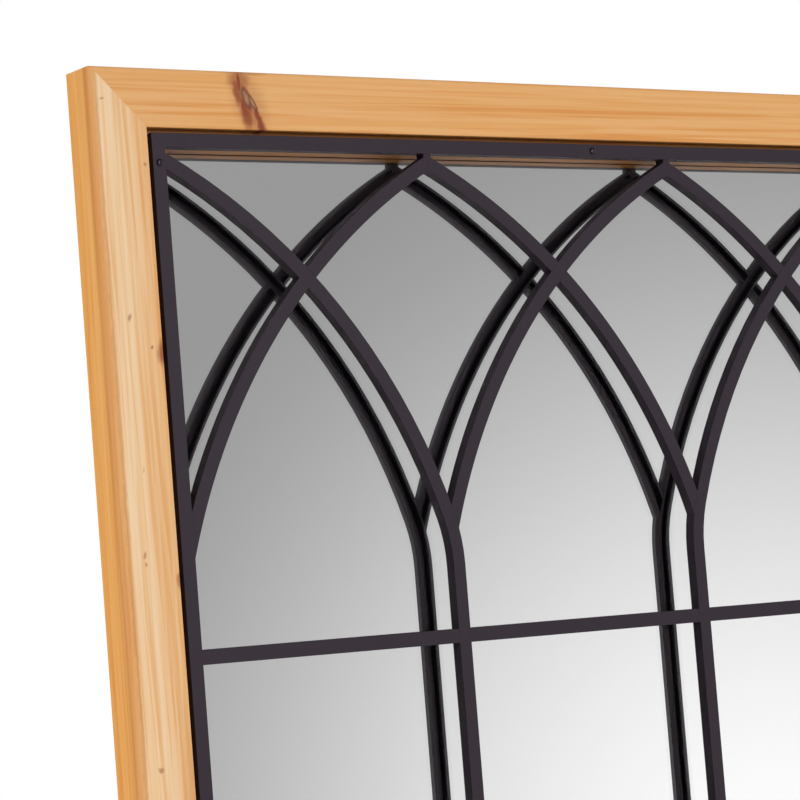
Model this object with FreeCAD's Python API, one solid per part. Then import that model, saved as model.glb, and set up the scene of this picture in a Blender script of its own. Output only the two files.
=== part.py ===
import FreeCAD, Part
import math
import os

# Wall mirror with a mitred softwood frame and a black steel window grille of interlaced pointed arches.
# X runs to the right, Z up and Y from the front of the mirror to the wall.
# The origin lies on the wall, midway between the two hanging rings.

# Driving sizes of the wooden frame, in millimetres
overall_width = 813.0
overall_height = 1230.0
frame_depth = 36.5
frame_face = 43.6
outer_round = 3.0
inner_round = 0.8
rear_round = 1.5

# Driving sizes of the steel grille
bar_width = 10.7
bar_depth = 9.6
bar_wall = 2.0
grille_setback = 1.0
grille_gap = 3.7
springing_drop = 303.25
middle_springing_drop = 282.75
apex_drop = 12.6
outer_arch_radius = 491.0
middle_arch_radius = 475.0
mullion_arch_radius = 467.0
mullion_bend = 120.0
apex_weld = 6.4

# Driving sizes of the glass and of what lies behind it
glass_thickness = 4.0
pad_thickness = 1.5
board_thickness = 5.0
board_recess = 0.4
glass_cover = 9.0
glass_clearance = 1.0
board_ledge = 14.0
board_clearance = 0.5

# Driving sizes of the fasteners
grille_screw_head_radius = 2.6
grille_screw_head_height = 1.7
grille_screw_radius = 1.5
grille_screw_length = 22.0
grille_screw_corner_inset = 22.0
grille_screw_middle_shift = 43.0
board_screw_head_radius = 3.2
board_screw_head_height = 1.8
board_screw_radius = 1.6
board_screw_length = 18.0
board_screws_per_side = 5
board_screws_per_end = 4
hanger_screw_head_radius = 3.4
hanger_screw_head_height = 2.0
hanger_screw_radius = 1.75
hanger_screw_length = 16.0
screw_clearance = 0.1
head_bevel = 0.5
wedge_leg = 9.0
wedge_thickness = 0.8
wedge_depth = 12.0
wedge_inset = 9.0
wedge_spacing = 13.0

# Driving sizes of the hanging rings, their straps and the wall bumpers
hang_drop = 250.0
strap_width = 16.0
strap_length = 44.0
strap_sheet = 1.2
strap_corner = 4.0
strap_first_hole = 13.0
strap_hole_spacing = 17.0
ring_wire = 3.0
ring_fit = 0.08
ring_side_play = 1.0
ring_corner = 4.0
ring_side = 3.0
bumper_radius = 7.0
bumper_bevel = 1.5
bumper_inset = 45.0
wall_clearance = 0.9

# Places across the depth
strap_thickness = 2 * strap_sheet
ring_bore = ring_wire / 2 + ring_fit
ring_offset = strap_sheet + ring_bore
wall_standoff = 2 * ring_offset + wall_clearance
rear_y = -wall_standoff
front_y = rear_y - frame_depth
grille_y = front_y + grille_setback
lip_y = grille_y + bar_depth
board_y = rear_y - board_recess - board_thickness
pad_y = board_y - pad_thickness
glass_y = pad_y - glass_thickness

# Places across the height and the width
top_z = hang_drop
bottom_z = top_z - overall_height
middle_z = (top_z + bottom_z) / 2
half_width = overall_width / 2
lip_edge = frame_face + grille_gap + bar_width
glass_wall = lip_edge - glass_cover - glass_clearance
board_wall = glass_wall - board_ledge
grille_inset = frame_face + grille_gap
grille_half_width = half_width - grille_inset
grille_top = top_z - grille_inset
grille_bottom = bottom_z + grille_inset
window_half_width = grille_half_width - bar_width
window_top = grille_top - bar_width
window_bottom = grille_bottom + bar_width

# Layout of the lights: one mullion or crossbar stands between each two
mullion_names = ["left", "right"]
crossbar_names = ["upper", "lower"]
column_names = ["left", "middle", "right"]
half_bar = bar_width / 2
pitch = (2 * grille_half_width - bar_width) / (len(mullion_names) + 1)
row_pitch = (grille_top - grille_bottom - bar_width) / (len(crossbar_names) + 1)
mullion_x = pitch / 2
side_bar_x = mullion_x + pitch
crossbar_z = [grille_top - half_bar - row_pitch * (i + 1) for i in range(len(crossbar_names))]

# Heights of the arches; the middle ones spring a little higher than the rest
apex_z = grille_top - half_bar - apex_drop
springing_z = grille_top - half_bar - springing_drop
middle_springing_z = grille_top - half_bar - middle_springing_drop

Vector = FreeCAD.Vector
across = Vector(1, 0, 0)
backward = Vector(0, 1, 0)
upward = Vector(0, 0, 1)
overrun = 2 * bar_width


def save(shape, node):
    os.makedirs("parts", exist_ok=True)
    shape.exportStep("parts/" + node + ".step")


def at(x, z, y=0.0):
    return Vector(x, y, z)


def outline(points):
    """A flat face in the plane of the mirror, from corner points (x, z)."""
    corners = [at(x, z) for x, z in points]
    return Part.Face(Part.makePolygon(corners + corners[:1]))


def slab(face, y, thickness):
    """A face of the mirror's plane, moved to depth y and made thick towards the wall."""
    moved = face.translated(Vector(0, y, 0))
    return moved.extrude(Vector(0, thickness, 0))


def box(x_low, x_high, y, thickness, z_low, z_high):
    face = outline([(x_low, z_low), (x_high, z_low), (x_high, z_high), (x_low, z_high)])
    return slab(face, y, thickness)


def mirrored(shape):
    return shape.mirror(Vector(0, 0, 0), across)


def arc(centre_x, centre_z, radius, start, end):
    """A circular edge in the mirror's plane between two angles from +X."""
    turns = [start, (start + end) / 2, end]
    places = [at(centre_x + radius * math.cos(a), centre_z + radius * math.sin(a)) for a in turns]
    return Part.Arc(*places).toShape()


def largest_solids(shape, count):
    """The pieces that a cut leaves, without crumbs, from the lowest to the highest."""
    solids = sorted(shape.Solids, key=lambda solid: solid.Volume)[-count:]
    return sorted(solids, key=lambda solid: solid.CenterOfGravity.z)


# Wooden frame

def rounded_wire(corners):
    """A closed wire in the YZ plane through (u, v, radius) corners, u inwards and v in depth."""
    points = [Vector(0, v, u) for u, v, radius in corners]
    edges = []
    tangents = []
    for i, (u, v, radius) in enumerate(corners):
        before = (points[i - 1] - points[i]).normalize()
        after = (points[(i + 1) % len(points)] - points[i]).normalize()
        if radius > 0:
            entry = points[i] + before * radius
            leave = points[i] + after * radius
            bulge = points[i] + (before + after) * radius * (1 - math.sqrt(0.5))
            edges.append(Part.Arc(entry, bulge, leave).toShape())
            tangents.append((entry, leave))
        else:
            tangents.append((points[i], points[i]))
    for i in range(len(tangents)):
        start = tangents[i][1]
        end = tangents[(i + 1) % len(tangents)][0]
        edges.append(Part.LineSegment(start, end).toShape())
    return Part.Wire(Part.__sortEdges__(edges))


def frame_member(length):
    """A mitred moulding along X, its outer edge on Z = 0, with the grille's seat and the rear rebates."""
    lip_v = lip_y - front_y
    glass_v = glass_y - front_y
    board_v = board_y - front_y
    profile = Part.Face(rounded_wire([
        (0, 0, outer_round),
        (frame_face, 0, inner_round),
        (frame_face, lip_v, 0),
        (lip_edge, lip_v, inner_round),
        (lip_edge, glass_v, 0),
        (glass_wall, glass_v, 0),
        (glass_wall, board_v, 0),
        (board_wall, board_v, 0),
        (board_wall, frame_depth, 0),
        (0, frame_depth, rear_round),
    ]))
    moulding = profile.translated(Vector(-length / 2, 0, 0)).extrude(Vector(length, 0, 0))
    mitre = outline([
        (-length / 2, 0),
        (length / 2, 0),
        (length / 2 - lip_edge, lip_edge),
        (-length / 2 + lip_edge, lip_edge),
    ])
    return moulding.common(slab(mitre, 0, frame_depth))


def placed(shape, x, z, turn):
    """A piece turned about the depth axis and set on the frame's front plane."""
    result = shape.copy()
    result.rotate(Vector(0, 0, 0), backward, turn)
    result.translate(at(x, z, front_y))
    return result


rail = frame_member(overall_width)
stile = frame_member(overall_height)
timbers = {
    "bottom_rail": placed(rail, 0, bottom_z, 0),
    "top_rail": placed(rail, 0, top_z, 180),
    "left_stile": placed(stile, -half_width, middle_z, 90),
    "right_stile": placed(stile, half_width, middle_z, -90),
}


# Steel grille of channel bars, open towards the glass

def channel(strip):
    """A channel bar from a function that gives its flat strip at any width."""
    body = slab(strip(bar_width), grille_y, bar_depth)
    groove = slab(strip(bar_width - 2 * bar_wall), grille_y + bar_wall, bar_depth)
    return body.cut(groove)


def envelope(strip):
    """The room that a bar takes, with spare depth, to cut other bars against it."""
    return slab(strip(bar_width), grille_y - overrun, bar_depth + 2 * overrun)


def mitred_strip(length, width):
    """A strip along X, centred on half a bar's width from Z = 0, with both ends cut at 45 degrees."""
    near = half_bar - width / 2
    far = half_bar + width / 2
    half = length / 2
    return outline([(-half + near, near), (half - near, near), (half - far, far), (-half + far, far)])


def edge_bar(length, x, z, turn):
    """A bar of the grille's border; its channel runs through to the mitres."""
    bar = channel(lambda width: mitred_strip(length, width))
    bar.rotate(Vector(0, 0, 0), backward, turn)
    bar.translate(at(x, z))
    return bar


def arch_centre(foot_z, radius):
    """How far an arch's centre lies to the side of its foot, and its height. The apex is one pitch away."""
    rise = apex_z - foot_z
    chord = math.hypot(pitch, rise)
    chord_to_centre = math.sqrt(radius ** 2 - (chord / 2) ** 2)
    reach = pitch / 2 + chord_to_centre * rise / chord
    height = foot_z + rise / 2 - chord_to_centre * pitch / chord
    return reach, height


def arch_strip(x, foot_z, radius, width):
    """The flat ring of an arch that springs at x and rises to the left, past both of its ends."""
    reach, centre_z = arch_centre(foot_z, radius)
    spare = overrun / radius
    start = math.asin((foot_z - centre_z) / radius) - spare
    end = math.asin((apex_z - centre_z) / radius) + spare
    outside = arc(x - reach, centre_z, radius + width / 2, start, end)
    inside = arc(x - reach, centre_z, radius - width / 2, start, end)
    foot = Part.LineSegment(inside.firstVertex().Point, outside.firstVertex().Point).toShape()
    head = Part.LineSegment(inside.lastVertex().Point, outside.lastVertex().Point).toShape()
    return Part.Face(Part.Wire(Part.__sortEdges__([foot, outside, head, inside])))


def mullion_strip(x, width):
    """A mullion's flat strip: upright, then bent over to the left into an arch."""
    half = width / 2
    radius = mullion_arch_radius
    reach, centre_z = arch_centre(springing_z, radius)
    foot_z = window_bottom - overrun
    bend_x = x - mullion_bend
    bend_rise = math.sqrt((radius - mullion_bend) ** 2 - (reach - mullion_bend) ** 2)
    bend_z = centre_z + bend_rise
    turn = math.atan2(bend_rise, reach - mullion_bend)
    end = math.asin((apex_z - centre_z) / radius) + overrun / radius
    edges = [Part.LineSegment(at(x - half, foot_z), at(x + half, foot_z)).toShape()]
    tips = []
    for side in (half, -half):
        edges.append(Part.LineSegment(at(x + side, foot_z), at(x + side, bend_z)).toShape())
        edges.append(arc(bend_x, bend_z, mullion_bend + side, 0, turn))
        edges.append(arc(x - reach, centre_z, radius + side, turn, end))
        tips.append(edges[-1].lastVertex().Point)
    edges.append(Part.LineSegment(tips[0], tips[1]).toShape())
    return Part.Face(Part.Wire(Part.__sortEdges__(edges)))


def welded(arch, x):
    """An arch with its half of the weld that ties the point, at x, to the border's top bar."""
    weld = box(x, x + apex_weld / 2, grille_y, bar_depth, apex_z, window_top)
    return arch.fuse(weld).removeSplitter()


def window(x_low, x_high):
    """The room inside the grille's border between two upright planes."""
    return box(x_low, x_high, grille_y - overrun, bar_depth + 2 * overrun, window_bottom, window_top)


grille = {
    "grille_bottom_bar": edge_bar(2 * grille_half_width, 0, grille_bottom, 0),
    "grille_top_bar": edge_bar(2 * grille_half_width, 0, grille_top, 180),
    "grille_left_bar": edge_bar(grille_top - grille_bottom, -grille_half_width, middle_z, 90),
    "grille_right_bar": edge_bar(grille_top - grille_bottom, grille_half_width, middle_z, -90),
}

# Each mullion is one bar with the arch that it bends into, as far as the border's corner
whole_window = window(-window_half_width, window_half_width)
left_mullion_room = envelope(lambda width: mullion_strip(-mullion_x, width))
right_mullion_room = mirrored(left_mullion_room)
left_mullion = channel(lambda width: mullion_strip(-mullion_x, width)).common(whole_window)
grille["left_mullion"] = largest_solids(left_mullion, 1)[0]
grille["right_mullion"] = mirrored(grille["left_mullion"])

# The outer arches spring from the side bars and are cut where the mullions' arches cross them

def outer_arch_strip(width):
    return arch_strip(side_bar_x, springing_z, outer_arch_radius, width)


right_column = window(mullion_x, window_half_width)
right_arch = channel(outer_arch_strip).common(right_column)
right_arch = welded(right_arch, mullion_x)
right_pieces = largest_solids(right_arch.cut(right_mullion_room), 2)
for name, piece in zip(["lower", "upper"], right_pieces):
    grille["right_arch_" + name] = piece
    grille["left_arch_" + name] = mirrored(piece)

# Of the two middle arches, the one from the left mullion is whole and cuts the other in two.
# A mullion has begun to bend away where a middle arch springs, so the arch's foot follows it

def middle_arch_strip(width):
    return arch_strip(mullion_x, middle_springing_z, middle_arch_radius, width)


middle_column = window(-mullion_x, mullion_x + bar_width)
falling = channel(middle_arch_strip).common(middle_column)
falling = largest_solids(falling.cut(right_mullion_room), 1)[0]
falling = welded(falling, -mullion_x)
rising_room = mirrored(envelope(middle_arch_strip))
grille["middle_arch_whole"] = mirrored(falling)
for name, piece in zip(["lower", "upper"], largest_solids(falling.cut(rising_room), 2)):
    grille["middle_arch_" + name] = piece

# Crossbars, cut to length between the uprights
column_edges = {
    "left": (-window_half_width, -mullion_x - half_bar),
    "middle": (-mullion_x + half_bar, mullion_x - half_bar),
    "right": (mullion_x + half_bar, window_half_width),
}


def level_strip(x_low, x_high, z, width):
    half = width / 2
    return outline([(x_low, z - half), (x_high, z - half), (x_high, z + half), (x_low, z + half)])


for row, z in zip(crossbar_names, crossbar_z):
    for column in column_names:
        x_low, x_high = column_edges[column]
        bar = channel(lambda width: level_strip(x_low, x_high, z, width))
        grille[row + "_crossbar_" + column] = bar


# Screws, all along the depth axis

def cylinder(x, z, y_start, y_end, radius):
    return Part.makeCylinder(radius, y_end - y_start, at(x, z, y_start), backward)


def rear_rim(shape):
    """The edges that lie wholly in the rear half of a turned piece: the rim of its rear end."""
    half_way = (shape.BoundBox.YMin + shape.BoundBox.YMax) / 2
    return [edge for edge in shape.Edges if edge.BoundBox.YMin > half_way]


def screws(places, y, sense, head_radius, head_height, radius, length):
    """Round-headed screws seated on y, their heads in front of it (-1) or behind it (1)."""
    head = cylinder(0, 0, 0, head_height, head_radius)
    head = head.makeChamfer(head_height * head_bevel, rear_rim(head))
    screw = head.fuse(cylinder(0, 0, -length, 0, radius)).removeSplitter()
    if sense < 0:
        screw.rotate(Vector(0, 0, 0), upward, 180)
    return [screw.translated(at(x, z, y)) for x, z in places]


def holes(places, y, sense, radius, length):
    """The holes for such screws, wider and deeper than the shanks by the clearance."""
    low, high = sorted([y + sense * overrun, y - sense * (length + screw_clearance)])
    return Part.makeCompound([cylinder(x, z, low, high, radius + screw_clearance) for x, z in places])


def drill(pieces, names, tool):
    for name in names:
        pieces[name] = pieces[name].cut(tool)


# Grille screws: three along each side bar, and one near the middle of each level bar
side_screw_z = [grille_top - grille_screw_corner_inset, middle_z, grille_bottom + grille_screw_corner_inset]
grille_places = [(side * side_bar_x, z) for side in (-1, 1) for z in side_screw_z]
grille_places.append((grille_screw_middle_shift, grille_top - half_bar))
grille_places.append((grille_screw_middle_shift, grille_bottom + half_bar))
grille_screws = screws(grille_places, grille_y, -1, grille_screw_head_radius, grille_screw_head_height,
                       grille_screw_radius, grille_screw_length)
grille_holes = holes(grille_places, grille_y, -1, grille_screw_radius, grille_screw_length)
border_names = ["grille_bottom_bar", "grille_top_bar", "grille_left_bar", "grille_right_bar"]
drill(grille, border_names, grille_holes)
drill(timbers, timbers, grille_holes)


# Glass, pad and backing board

def pane(edge, y, thickness):
    return box(-half_width + edge, half_width - edge, y, thickness, bottom_z + edge, top_z - edge)


glass_edge = glass_wall + glass_clearance
board_edge = board_wall + board_clearance
mirror_glass = pane(glass_edge, glass_y, glass_thickness)
glass_pad = pane(glass_edge, pad_y, pad_thickness)
sheets = {"backing_board": pane(board_edge, board_y, board_thickness)}


def spread(half_length, count):
    """Evenly spaced places from one end of a line to the other."""
    return [half_length * (2 * i / (count - 1) - 1) for i in range(count)]


screw_line = (board_wall + glass_wall) / 2
board_x = half_width - screw_line
board_z = overall_height / 2 - screw_line
side_places = spread(board_z, board_screws_per_side)
end_places = spread(board_x, board_screws_per_end)[1:-1]
board_places = [(side * board_x, middle_z + z) for side in (-1, 1) for z in side_places]
board_places += [(x, middle_z + side * board_z) for side in (-1, 1) for x in end_places]
board_rear = board_y + board_thickness
board_screws = screws(board_places, board_rear, 1, board_screw_head_radius, board_screw_head_height,
                      board_screw_radius, board_screw_length)
board_holes = holes(board_places, board_rear, 1, board_screw_radius, board_screw_length)
drill(sheets, sheets, board_holes)
drill(timbers, timbers, board_holes)


# Steel wedges that draw the mitres together from the rear

def wedge(corner_x, corner_z, inset):
    """A bent strip whose two legs reach into the two timbers that meet at a corner."""
    side_x = -math.copysign(1, corner_x)
    side_z = math.copysign(1, middle_z - corner_z)
    reach = inset + wedge_leg
    inner = inset + wedge_thickness
    steps = [(inset, inset), (reach, inset), (reach, inner), (inner, inner), (inner, reach), (inset, reach)]
    face = outline([(corner_x + side_x * u, corner_z + side_z * v) for u, v in steps])
    return slab(face, rear_y - wedge_depth, wedge_depth)


wedge_insets = [wedge_inset, wedge_inset + wedge_spacing]
corners = [(x, z) for x in (-half_width, half_width) for z in (bottom_z, top_z)]
mitre_wedges = Part.makeCompound([wedge(x, z, inset) for x, z in corners for inset in wedge_insets])
drill(timbers, timbers, mitre_wedges)


# Hanging rings in folded straps, screwed to the stiles

ring_y = rear_y + ring_offset
strap_x = half_width - board_wall / 2
ring_leg = strap_width / 2 + ring_side_play + ring_corner
loop_radius = ring_bore + strap_sheet


def strap(x):
    """A steel strap folded double round the ring's straight leg, with two screw holes."""
    half = strap_width / 2
    plate = box(x - half, x + half, rear_y, strap_thickness, -strap_length, 0)
    tip = [edge for edge in plate.Edges if edge.BoundBox.ZMax < -strap_length / 2]
    plate = plate.makeFillet(strap_corner, [edge for edge in tip if edge.BoundBox.XLength < strap_corner])
    loop = Part.makeCylinder(loop_radius, strap_width, at(x - half, 0, ring_y), across)
    bore = Part.makeCylinder(ring_bore, strap_width, at(x - half, 0, ring_y), across)
    return plate.fuse(loop).removeSplitter().cut(bore)


def bend(x, z, radius, start, end):
    """A bent length of ring wire in the plane of the mirror, between two angles from +X towards +Z."""
    section = Part.Face(Part.Wire(Part.makeCircle(ring_wire / 2, at(x + radius, z, ring_y), upward)))
    section.rotate(at(x, z, ring_y), -backward, start)
    return section.revolve(at(x, z, ring_y), -backward, end - start)


def ring(x):
    """A closed wire ring: a straight leg through the strap, two corners, two sides and a half circle."""
    wire = ring_wire / 2
    level = ring_corner + ring_side
    leg_half = ring_leg - ring_corner
    parts = [Part.makeCylinder(wire, 2 * leg_half, at(x - leg_half, 0, ring_y), across)]
    for side, start in ((-1, 180), (1, 270)):
        parts.append(bend(x + side * leg_half, ring_corner, ring_corner, start, start + 90))
        parts.append(Part.makeCylinder(wire, ring_side, at(x + side * ring_leg, ring_corner, ring_y), upward))
    parts.append(bend(x, level, ring_leg, 0, 180))
    return parts[0].multiFuse(parts[1:]).removeSplitter()


straps = {}
rings = {}
for name, side in (("left", -1), ("right", 1)):
    straps[name + "_hanger_strap"] = strap(side * strap_x)
    rings[name + "_hanger_ring"] = ring(side * strap_x)
hanger_z = [-strap_first_hole, -strap_first_hole - strap_hole_spacing]
hanger_places = [(side * strap_x, z) for side in (-1, 1) for z in hanger_z]
strap_rear = rear_y + strap_thickness
hanger_screws = screws(hanger_places, strap_rear, 1, hanger_screw_head_radius, hanger_screw_head_height,
                       hanger_screw_radius, hanger_screw_length)
hanger_holes = holes(hanger_places, strap_rear, 1, hanger_screw_radius, hanger_screw_length)
drill(straps, straps, hanger_holes)
drill(timbers, timbers, hanger_holes)


# Rubber bumpers that keep the lower corners off the wall

def bumper(x, z):
    body = cylinder(x, z, rear_y, 0, bumper_radius)
    return body.makeChamfer(bumper_bevel, rear_rim(body))


bumpers = [bumper(side * strap_x, bottom_z + bumper_inset) for side in (-1, 1)]

for pieces in (timbers, grille, sheets, straps, rings):
    for node, shape in pieces.items():
        save(shape, node)
save(mirror_glass, "mirror_glass")
save(glass_pad, "glass_pad")
save(Part.makeCompound(grille_screws), "grille_screws")
save(Part.makeCompound(board_screws), "board_screws")
save(Part.makeCompound(hanger_screws), "hanger_screws")
save(mitre_wedges, "mitre_wedges")
save(Part.makeCompound(bumpers), "wall_bumpers")
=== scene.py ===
# %% [markdown]
# # A window-pane wall mirror
# A softwood frame holds a mirror behind a black steel grille of pointed arches, like an old
# factory window. The CAD model already has every piece in its place, so this lesson gives the
# pieces their finishes, adds the parts that CAD leaves plain, and sets up the studio. Redrawing
# the frame here would be possible too, but the drawing would soon differ from the solids that
# carry the joints.

# %% Load the CAD model
import math

import bmesh
import bpy
from mathutils import Matrix, Vector


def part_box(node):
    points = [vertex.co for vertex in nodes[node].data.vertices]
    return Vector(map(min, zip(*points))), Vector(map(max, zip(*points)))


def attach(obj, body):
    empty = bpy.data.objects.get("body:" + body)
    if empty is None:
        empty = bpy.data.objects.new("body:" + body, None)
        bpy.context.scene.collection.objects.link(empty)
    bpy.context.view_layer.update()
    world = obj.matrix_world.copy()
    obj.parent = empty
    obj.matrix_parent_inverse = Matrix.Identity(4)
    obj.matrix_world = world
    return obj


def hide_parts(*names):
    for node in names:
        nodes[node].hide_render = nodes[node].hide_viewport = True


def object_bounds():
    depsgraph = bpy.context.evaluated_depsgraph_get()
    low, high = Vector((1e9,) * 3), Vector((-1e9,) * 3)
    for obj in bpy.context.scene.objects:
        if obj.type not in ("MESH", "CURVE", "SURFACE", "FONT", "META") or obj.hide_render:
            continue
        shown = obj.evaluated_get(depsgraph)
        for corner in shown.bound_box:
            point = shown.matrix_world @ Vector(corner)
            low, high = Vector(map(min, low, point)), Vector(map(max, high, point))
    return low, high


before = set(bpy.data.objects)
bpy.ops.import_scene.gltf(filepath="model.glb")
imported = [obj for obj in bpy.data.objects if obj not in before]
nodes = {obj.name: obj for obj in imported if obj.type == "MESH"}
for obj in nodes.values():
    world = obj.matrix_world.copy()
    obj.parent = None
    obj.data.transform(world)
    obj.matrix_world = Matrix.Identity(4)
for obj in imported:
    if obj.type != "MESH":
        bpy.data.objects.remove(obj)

cad_low, cad_high = [Vector(corner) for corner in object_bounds()]
print("CAD nodes:", len(nodes), "box:", [round(side, 4) for side in cad_high - cad_low])

# %% [markdown]
# ## The camera
# The photograph was taken from the left with a long lens, a little below the mirror's upper
# corner, and the camera leans to one side. A camera could be turned by three angles, but a
# place, a point to aim at, a lean and a focal length say more plainly where the photographer
# stood.

# %% Camera
camera_place = Vector((-1.4413, -1.9234, -0.1577))
camera_aim = Vector((-0.1605, -0.0416, 0.0031))
camera_lean = math.radians(-4.53)
camera_lens = 136.04

camera_data = bpy.data.cameras.new("photo_camera")
camera_data.lens = camera_lens
camera = bpy.data.objects.new("photo_camera", camera_data)
bpy.context.collection.objects.link(camera)
look = (camera_aim - camera_place).to_track_quat("-Z", "Y").to_matrix().to_4x4()
lean = Matrix.Rotation(camera_lean, 4, "Z")
camera.matrix_world = Matrix.Translation(camera_place) @ look @ lean
bpy.context.scene.camera = camera
bpy.context.scene.view_settings.view_transform = "Standard"
print("camera stands", round((camera_aim - camera_place).length, 3), "m from the grille")

# %% [markdown]
# ## Helpers for every material
# A colour picked from a screen is in sRGB, while Blender's sockets take linear light, so one
# function converts it. A material is a small graph, and one function adds any node to it with
# its settings and whatever feeds it. Building graphs by hand in the editor works as well, but
# code can be read again.

# %% Colour and node helpers
MIX_FACTOR, MIX_FIRST, MIX_SECOND, MIX_RESULT = 0, 6, 7, 2   # the colour sockets of a Mix node
BLEND_COLOURS = {"data_type": "RGBA"}   # settings of a Mix node
MULTIPLY_COLOURS = {"data_type": "RGBA", "blend_type": "MULTIPLY"}
SMOOTH_FADE = {"interpolation_type": "SMOOTHSTEP"}   # settings of a Map Range node


def linear(hex_colour):
    """An sRGB colour such as #c08040 as linear red, green, blue and alpha."""
    channels = [int(hex_colour[i:i + 2], 16) / 255 for i in (1, 3, 5)]
    return [c / 12.92 if c <= 0.04045 else ((c + 0.055) / 1.055) ** 2.4 for c in channels] + [1.0]


def add_node(tree, kind, settings, inputs):
    """Adds a node. An input is a value or the socket that feeds it; stops are a ramp's colours."""
    node = tree.nodes.new("ShaderNode" + kind)
    for name, value in settings.items():
        if name == "stops":
            elements = node.color_ramp.elements
            while len(elements) < len(value):
                elements.new(1.0)
            for element, (position, colour) in zip(elements, value):
                element.position = position
                element.color = linear(colour)
        else:
            setattr(node, name, value)
    for key, value in inputs.items():
        if isinstance(value, bpy.types.NodeSocket):
            tree.links.new(value, node.inputs[key])
        else:
            node.inputs[key].default_value = value
    return node


def new_material(name):
    """An empty material and its node tree."""
    material = bpy.data.materials.new(name)
    material.use_nodes = True
    material.node_tree.nodes.clear()
    return material, material.node_tree


def finish_material(tree, inputs):
    """Ends a material's graph with a Principled shader."""
    shader = add_node(tree, "BsdfPrincipled", {}, inputs)
    add_node(tree, "OutputMaterial", {}, {"Surface": shader.outputs[0]})


print("white in linear light:", linear("#ffffff"))

# %% [markdown]
# ## The floor
# The mirror can lean or stand on its lower edge, so a pale floor lies under it. It is wide
# enough to take the shadow, and no wider, so that the mirror doesn't show its far edge to the
# photographer.

# %% Floor
floor_half = 3.0
floor_clearance = 0.0002

floor_mesh = bpy.data.meshes.new("floor")
floor_z = cad_low.z - floor_clearance
corner_sides = ((-1, -1), (1, -1), (1, 1), (-1, 1))
corners = [(x * floor_half, y * floor_half, floor_z) for x, y in corner_sides]
floor_mesh.from_pydata(corners, [], [(0, 1, 2, 3)])
floor = bpy.data.objects.new("floor", floor_mesh)
bpy.context.collection.objects.link(floor)

# Matt white paint: it scatters light evenly and shows no gloss.
floor_paint, tree = new_material("matt_white_floor_paint")
finish_material(tree, {"Base Color": linear("#dcdbd9"), "Roughness": 0.9})
floor_mesh.materials.append(floor_paint)
print("floor at", round(floor_z, 4))

# %% [markdown]
# ## What the mirror sees
# A mirror shows whatever stands in front of it. In the photograph that is a soft white glow to
# the right, which fades to grey. Straight ahead, where the photograph doesn't look, the world
# is white again, which adds to the sheen of the bars, and above and below a level band it is
# darker. Only the rays that mirrors and gloss send out see this. A painted card could stand
# there instead, but it would be in the way of the other views.

# %% World: the glow
glow_azimuth = math.radians(40.9)   # to the right of straight ahead of the mirror
glow_elevation = math.radians(-5.7)
glow_greys = [   # by degrees from the middle of the glow
    (0.0, "#d9d9d9"), (15.8, "#818181"), (19.0, "#818181"),
    (29.0, "#ffffff"), (60.0, "#ffffff"), (76.0, "#686868"),
]
glow_strength = 1.6   # so that the brightest part, straight ahead, is brighter than paper
band_greys = [   # from straight down at 0 to straight up at 1
    (0.25, "#707070"), (0.37, "#ffffff"), (0.60, "#ffffff"), (0.72, "#606060"),
]

world = bpy.data.worlds.new("studio")
world.use_nodes = True
bpy.context.scene.world = world
tree = world.node_tree
tree.nodes.clear()
glow_direction = (
    math.sin(glow_azimuth) * math.cos(glow_elevation),
    -math.cos(glow_azimuth) * math.cos(glow_elevation),
    math.sin(glow_elevation),
)
ray = add_node(tree, "TexCoord", {}, {}).outputs["Generated"]
along_glow = {0: ray, 1: glow_direction}
along_glow = add_node(tree, "VectorMath", {"operation": "DOT_PRODUCT"}, along_glow)
angle = add_node(tree, "Math", {"operation": "ARCCOSINE"}, {0: along_glow.outputs["Value"]})
half_turns = add_node(tree, "Math", {"operation": "DIVIDE"}, {0: angle.outputs[0], 1: math.pi})
stops = [(degrees / 180, grey) for degrees, grey in glow_greys]
glow = add_node(tree, "ValToRGB", {"stops": stops}, {"Fac": half_turns.outputs[0]})
glow.color_ramp.interpolation = "EASE"
height = add_node(tree, "SeparateXYZ", {}, {0: ray}).outputs["Z"]
level = {"Value": height, "From Min": -1.0, "From Max": 1.0}
level = add_node(tree, "MapRange", {}, level).outputs[0]
band = add_node(tree, "ValToRGB", {"stops": band_greys}, {"Fac": level})
banded = {MIX_FACTOR: 1.0, MIX_FIRST: glow.outputs[0], MIX_SECOND: band.outputs[0]}
banded = add_node(tree, "Mix", MULTIPLY_COLOURS, banded).outputs[MIX_RESULT]
reflected = add_node(tree, "Background", {}, {"Color": banded, "Strength": glow_strength})
print("glow towards", [round(part, 3) for part in glow_direction])

# %% [markdown]
# ## What the camera and matt surfaces see
# The camera itself sees plain white round the mirror, and matt surfaces are lit by a soft sky
# that is brighter above than below. One world can do all three, because Light Path tells what
# kind of ray has arrived; a white backdrop with lamps of its own would cast more light on the
# mirror.

# %% World: sky and backdrop
sky_greys = [   # from straight down at 0 to straight up at 1
    (0.34, "#3c3c3c"), (0.55, "#a6a6a6"), (0.8, "#a6a6a6"), (1.0, "#ffffff"),
]

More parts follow.
